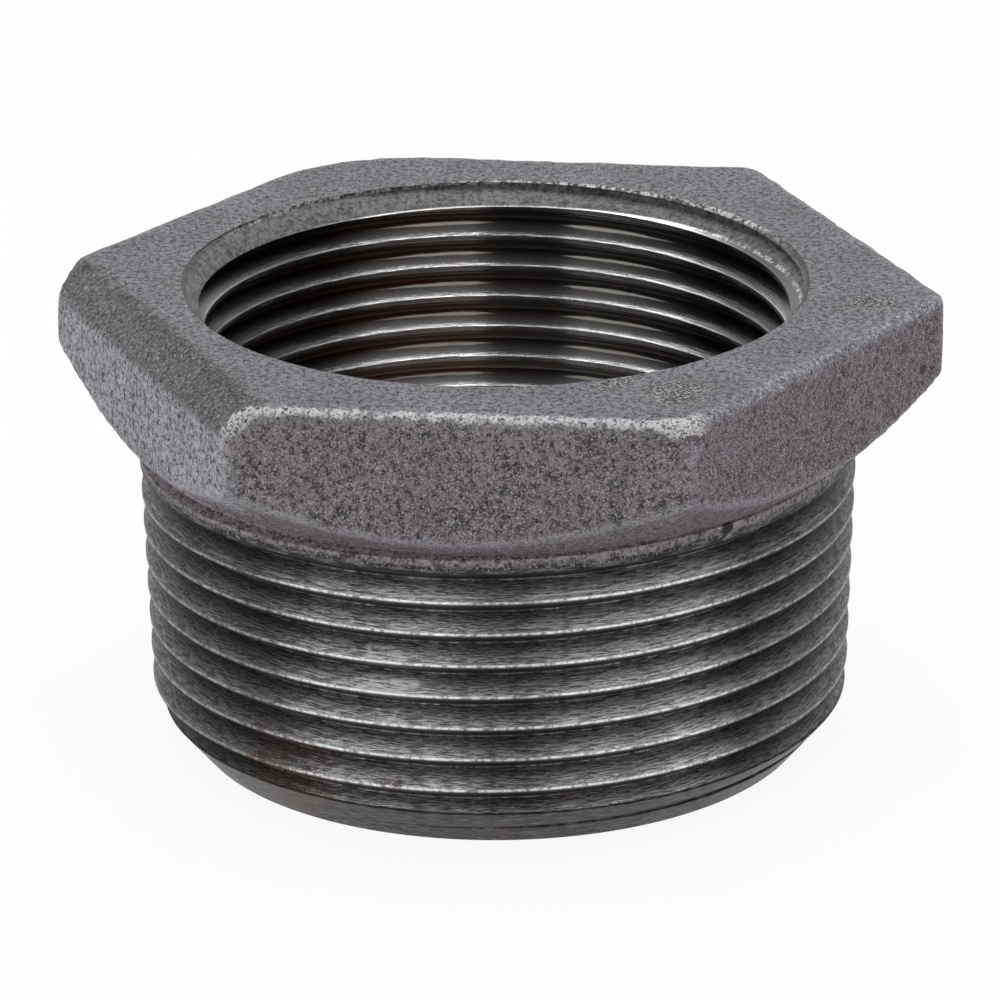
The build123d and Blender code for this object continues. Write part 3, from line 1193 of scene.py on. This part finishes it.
def inside_thread_material(thread, pitch, taper, height):
    """Smooth machined inside thread with painted highlights on the crests, painted shade and a painted
    reflection on the flanks, brown roots, and its dull mouth.
    """
    material, wiring, shader = new_material("inside_thread")
    place = place_group(wiring, "Turned position")
    grain = place_group(wiring, "Sand grain", {"Position": place["Position"], "Size": 0.25})
    fall = wiring.math("SUBTRACT", (height - MOUTH_DEPTH) / MM, place["Height"])
    crest = wiring.math("MULTIPLY_ADD", fall, -taper, thread.crest_radius / MM)
    depth = wiring.math("SUBTRACT", place["Radius"], crest)
    at = ThreadPlaces(wiring, place, depth, 9.0, thread.start_height, pitch, INSIDE_PAINTED_LIGHT)
    ragged = wiring.math("MULTIPLY_ADD", at.wander, 0.25, at.depth)
    away = wiring.math("ABSOLUTE", at.offset)

    # Flank: smooth grey with painted shade towards the root, oil on one side, painted light bands, a pale
    # lens of painted reflection and a dark underside of oil-brown and painted shade.
    metal = wiring.mix(wiring.ramp(ragged, 1.35, 0.5), INSIDE_ROOT_SHADE, INSIDE_FLANK)
    stain = wiring.product(
        wiring.ramp(at.depth, 0.9, 1.3),
        wiring.noise(at.position, 0.16, 1.0),
        wiring.ramp(at.offset, math.radians(4), math.radians(12)),
    )
    metal = wiring.mix(stain, metal, OIL_STAIN)
    # Painted light and shade from the bands round the bore.
    metal = wiring.shaded(metal, at.share)
    # Painted reflection of the bright surroundings near the root.
    lens = lens_reflection_mask(wiring, ragged, away)
    metal = wiring.mix(lens, metal, LENS_REFLECTION)
    # Down-facing flanks: oil-brown with painted shade.
    metal = wiring.mix(wiring.product(at.under, 0.7), metal, INSIDE_UNDERSIDE_OIL_AND_SHADE)

    # Crest: a painted highlight in the lit bands and a thin one all round; painted shade on the wall
    # beside the mouth's sides.
    shine = wiring.product(wiring.ramp(ragged, 0.44, 0.08), wiring.ramp(at.share, 0.55, 1.0))
    thin_line = wiring.line(ragged, 0.06, 0.09, 0.02, 0.30)
    metal = wiring.mix(wiring.largest(shine, thin_line), metal, INSIDE_CREST_HIGHLIGHT)
    # Painted shade on the wall below the mouth, at its sides.
    wall_shade = wiring.product(
        wiring.ramp(fall, 2.2, 0.8, 0.0, 0.85),
        wiring.ramp(away, math.radians(30), math.radians(60)),
    )
    metal = wiring.mix(wall_shade, metal, INSIDE_WALL_SHADE)

    metal, mouth = mouth_colour(wiring, at, grain, fall, away, metal)
    roughness = wiring.ramp(mouth, 0.0, 1.0, 0.20, 0.55)
    metallic = wiring.math("SUBTRACT", 1.0, wiring.product(wiring.largest(mouth, lens), 0.85))
    coat(wiring, shader, metal, roughness, metallic, at.relief, 0.04 * MM, bump_strength=0.4)
    return material


# ---------------------------------------------------------------- pieces


class HEXBUSHING_OT_casting(bpy.types.Operator):
    """Model the casting: threaded stub, hexagon head, bore, both threads and their finishes"""

    bl_idname = "hexbushing.casting"
    bl_label = "Casting"

    def execute(self, context):
        scene = context.scene
        head = scene.bushing_head
        outside = scene.bushing_outside
        inside = scene.bushing_inside
        colours = scene.bushing_colours
        for build in GROUP_BUILDERS:
            build()
        skin = cast_skin_material(head, colours)
        cut = outside_thread_material(outside, colours)
        tapped = inside_thread_material(inside, outside.pitch, outside.taper, head.height)
        body = self.threaded_stub(head, outside, inside.segments, cut)
        boolean(body, self.hexagon_head(head, outside, inside.segments, skin), "UNION")
        self.tap(body, head, outside, inside, tapped)
        pick(body)
        bpy.ops.object.shade_smooth_by_angle(angle=SMOOTH_ANGLE)
        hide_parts(NODE)
        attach(body, "root")
        return {"FINISHED"}

    def threaded_stub(self, head, outside, segments, material):
        """Tapered stub with the outside groove cut round it, running out under the neck."""

        def radius_at(height):
            return outside.crest_radius + height * outside.taper

        top = head.neck_height + STUB_OVERLAP
        body = turned_solid(
            PIECE,
            [
                (radius_at(0) - outside.bevel_width, 0),
                (radius_at(outside.bevel_height), outside.bevel_height),
                (radius_at(top), top),
            ],
            segments,
            material,
        )
        start = outside.runout_height - outside.turns * outside.pitch
        path = helix(
            start, radius_at(start), outside.turns, segments, outside.pitch, outside.taper
        )
        path += helix(
            outside.runout_height, radius_at(outside.runout_height), 1, segments,
            outside.pitch, 0, outside.depth + CLEARANCE,
        )
        outline = groove_outline(outside.depth, outside.root_flat, outside=True)
        boolean(body, groove_solid("outside_groove", path, outline, material), "DIFFERENCE")
        return body

    def hexagon_head(self, head, outside, segments, material):
        """Hexagon with rounded corners, a worn edge and a conical underside."""
        start = head.neck_height - NECK_OVERLAP
        circumradius = head.across_flats / math.sqrt(3)
        bpy.ops.mesh.primitive_cylinder_add(
            vertices=6,
            radius=circumradius,
            depth=head.height - start,
            location=(0, 0, (head.height + start) / 2),
            rotation=(0, 0, math.radians(30)),
        )
        hexagon = settle(bpy.context.object, "hexagon", material)
        round_corners(hexagon, (GATE_CORNER,), circumradius, head.gate_radius, 8)
        round_corners(hexagon, PLAIN_CORNERS, circumradius, head.corner_radius, 4)
        for direction in FRONT_CORNERS:
            shift_corner(hexagon, direction, circumradius, (head.corner_shift, 0, 0))
        worn_angle = math.radians(WORN_SIDE)
        worn_side = Vector((math.cos(worn_angle), math.sin(worn_angle), 0))
        worn_edge = worn_side * (head.across_flats / 2 - head.worn_width)
        pick(hexagon)
        bpy.ops.object.mode_set(mode="EDIT")
        bpy.ops.mesh.select_all(action="SELECT")
        bpy.ops.mesh.bisect(
            plane_co=worn_edge + Vector((0, 0, head.height)),
            plane_no=(worn_side + Vector((0, 0, 1))).normalized(),
            use_fill=True,
            clear_outer=True,
        )
        bpy.ops.object.mode_set(mode="OBJECT")
        round_top_edge(hexagon, head.height, head.edge_radius)
        slope = math.tan(head.underside_angle)
        neck_radius = outside.crest_radius + head.neck_height * outside.taper
        low = start - CONE_OVERLAP
        high = head.height + CONE_OVERLAP
        cone = turned_solid(
            "underside",
            [
                (neck_radius - (head.neck_height - low) * slope, low),
                (neck_radius + (high - head.neck_height) * slope, high),
            ],
            segments,
            material,
        )
        cone.rotation_euler.x = head.underside_lean
        cone.location.y = head.neck_height * math.sin(head.underside_lean)
        cone.location.z = head.neck_height * (1 - math.cos(head.underside_lean))
        settle(cone, "underside", material)
        boolean(hexagon, cone, "INTERSECT")
        sand_skin(hexagon, head.skin_grid, head.skin_waviness)
        return hexagon

    def tap(self, body, head, outside, inside, material):
        """Bores the body through, countersinks its mouth and cuts the inside groove."""
        crest_height = head.height - MOUTH_DEPTH

        def radius_at(height):
            return inside.crest_radius - (crest_height - height) * outside.taper

        over = BORE_OVERRUN
        mouth_slope = (inside.mouth_radius - inside.crest_radius) / MOUTH_DEPTH
        bore = turned_solid(
            "bore",
            [
                (radius_at(-over), -over),
                (inside.crest_radius, crest_height),
                (inside.mouth_radius + over * mouth_slope, head.height + over),
            ],
            inside.segments,
            material,
        )
        boolean(body, bore, "DIFFERENCE")
        turns = math.ceil((head.height + outside.pitch / 2 - inside.start_height) / outside.pitch)
        path = helix(
            inside.start_height, radius_at(inside.start_height), turns, inside.segments,
            outside.pitch, outside.taper,
        )
        outline = groove_outline(inside.depth, inside.root_flat, outside=False)
        boolean(body, groove_solid("inside_groove", path, outline, material), "DIFFERENCE")


class HEXBUSHING_OT_stage(bpy.types.Operator):
    """Lay the pale floor, hang the soft lamps and stand the camera"""

    bl_idname = "hexbushing.stage"
    bl_label = "Stage"

    def execute(self, context):
        settings = context.scene.bushing_stage
        self.floor()
        self.world(context.scene, settings)
        self.lamp("left_strip", *LEFT_STRIP, settings.strip_power)
        self.lamp("right_strip", *RIGHT_STRIP, settings.strip_power)
        self.lamp("front_lamp", *FRONT_LAMP, settings.front_power)
        self.camera(context.scene, settings)
        context.scene.view_settings.view_transform = "Standard"
        return {"FINISHED"}

    def backdrop_mask(self, wiring):
        """1 where the camera, a reflection or a clear material sees the backdrop."""
        path = wiring.node("ShaderNodeLightPath")
        seen = wiring.math("MAXIMUM", path.outputs["Is Camera Ray"], path.outputs["Is Glossy Ray"])
        return wiring.math("MAXIMUM", seen, path.outputs["Is Transmission Ray"])

    def floor(self):
        """Large pale floor that keeps a faint shadow."""
        bpy.ops.object.select_all(action="DESELECT")
        bpy.ops.mesh.primitive_plane_add(size=FLOOR_SIZE, location=(0, 0, 0))
        floor = bpy.context.object
        floor.name = "floor"
        material = bpy.data.materials.new("pale_floor")
        material.use_nodes = True
        material.node_tree.nodes.clear()
        wiring = Wiring(material.node_tree)
        paint = wiring.node("ShaderNodeBsdfDiffuse", {"Color": FLOOR_PAINT})
        glow = wiring.node("ShaderNodeEmission", {"Color": WHITE, "Strength": 1.0})
        amount = wiring.math("MULTIPLY", self.backdrop_mask(wiring), FLOOR_GLOW)
        both = wiring.node(
            "ShaderNodeMixShader", {0: amount, 1: paint.outputs[0], 2: glow.outputs[0]}
        )
        output = wiring.node("ShaderNodeOutputMaterial")
        wiring.feed(output.inputs["Surface"], both.outputs[0])
        floor.data.materials.append(material)

    def world(self, scene, settings):
        """Even white surroundings, seen as plain white."""
        world = bpy.data.worlds.new("studio")
        world.use_nodes = True
        scene.world = world
        world.node_tree.nodes.clear()
        wiring = Wiring(world.node_tree)
        level = wiring.math(
            "ADD",
            wiring.math("MULTIPLY", self.backdrop_mask(wiring), 1 - settings.world_strength),
            settings.world_strength,
        )
        background = wiring.node("ShaderNodeBackground", {"Color": WHITE, "Strength": level})
        output = wiring.node("ShaderNodeOutputWorld")
        wiring.feed(output.inputs["Surface"], background.outputs[0])

    def lamp(self, name, place, size, power):
        """Soft oblong lamp that faces the part."""
        bpy.ops.object.light_add(type="AREA", location=place)
        lamp = bpy.context.object
        lamp.name = name
        lamp.data.shape = "RECTANGLE"
        lamp.data.size, lamp.data.size_y = size
        lamp.data.energy = power
        towards_part = LAMP_AIM - Vector(place)
        lamp.rotation_euler = towards_part.to_track_quat("-Z", "Y").to_euler()

    def camera(self, scene, settings):
        """Camera on a long lens, a little above the part."""
        back = Vector(
            (
                math.sin(settings.azimuth) * math.cos(settings.elevation),
                -math.cos(settings.azimuth) * math.cos(settings.elevation),
                math.sin(settings.elevation),
            )
        )
        aim = Vector((0, 0, settings.aim_height))
        bpy.ops.object.camera_add(location=aim + back * settings.distance)
        camera = bpy.context.object
        camera.name = "camera"
        turn = (-back).to_track_quat("-Z", "Y")
        camera.rotation_mode = "QUATERNION"
        camera.rotation_quaternion = turn @ Quaternion((0, 0, 1), settings.roll)
        camera.data.lens = settings.lens
        camera.data.sensor_width = 36
        camera.data.shift_x = settings.shift
        camera.data.clip_start = 0.05
        camera.data.clip_end = 20
        scene.camera = camera


class HEXBUSHING_PT_panel(bpy.types.Panel):
    """Sizes, colours and steps of the hex bushing."""

    bl_idname = "HEXBUSHING_PT_panel"
    bl_label = "Hex Bushing"
    bl_space_type = "VIEW_3D"
    bl_region_type = "UI"
    bl_category = "Hex Bushing"

    def draw(self, context):
        layout = self.layout
        for step in STEPS:
            layout.operator(step.bl_idname)
        for name in GROUPS:
            settings = getattr(context.scene, name)
            box = layout.box()
            for key in settings.__annotations__:
                box.prop(settings, key)


GROUP_BUILDERS = (
    turned_position_group,
    sand_grain_group,
    turned_streaks_group,
    rust_group,
    groove_side_group,
    painted_light_bands_group,
    spot_group,
)
GROUPS = {
    "bushing_head": HeadSizes,
    "bushing_outside": OutsideThreadSizes,
    "bushing_inside": InsideThreadSizes,
    "bushing_stage": StageSettings,
    "bushing_colours": FinishColours,
}
STEPS = (HEXBUSHING_OT_casting, HEXBUSHING_OT_stage)
CLASSES = (*GROUPS.values(), *STEPS, HEXBUSHING_PT_panel)


def register():
    for cls in CLASSES:
        bpy.utils.register_class(cls)
    for name, group in GROUPS.items():
        setattr(bpy.types.Scene, name, PointerProperty(type=group))


def unregister():
    for name in GROUPS:
        delattr(bpy.types.Scene, name)
    for cls in reversed(CLASSES):
        bpy.utils.unregister_class(cls)


def main():
    """Builds the scene."""
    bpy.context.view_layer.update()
    register()
    bpy.ops.hexbushing.casting()
    bpy.ops.hexbushing.stage()


if __name__ == "__main__":
    main()
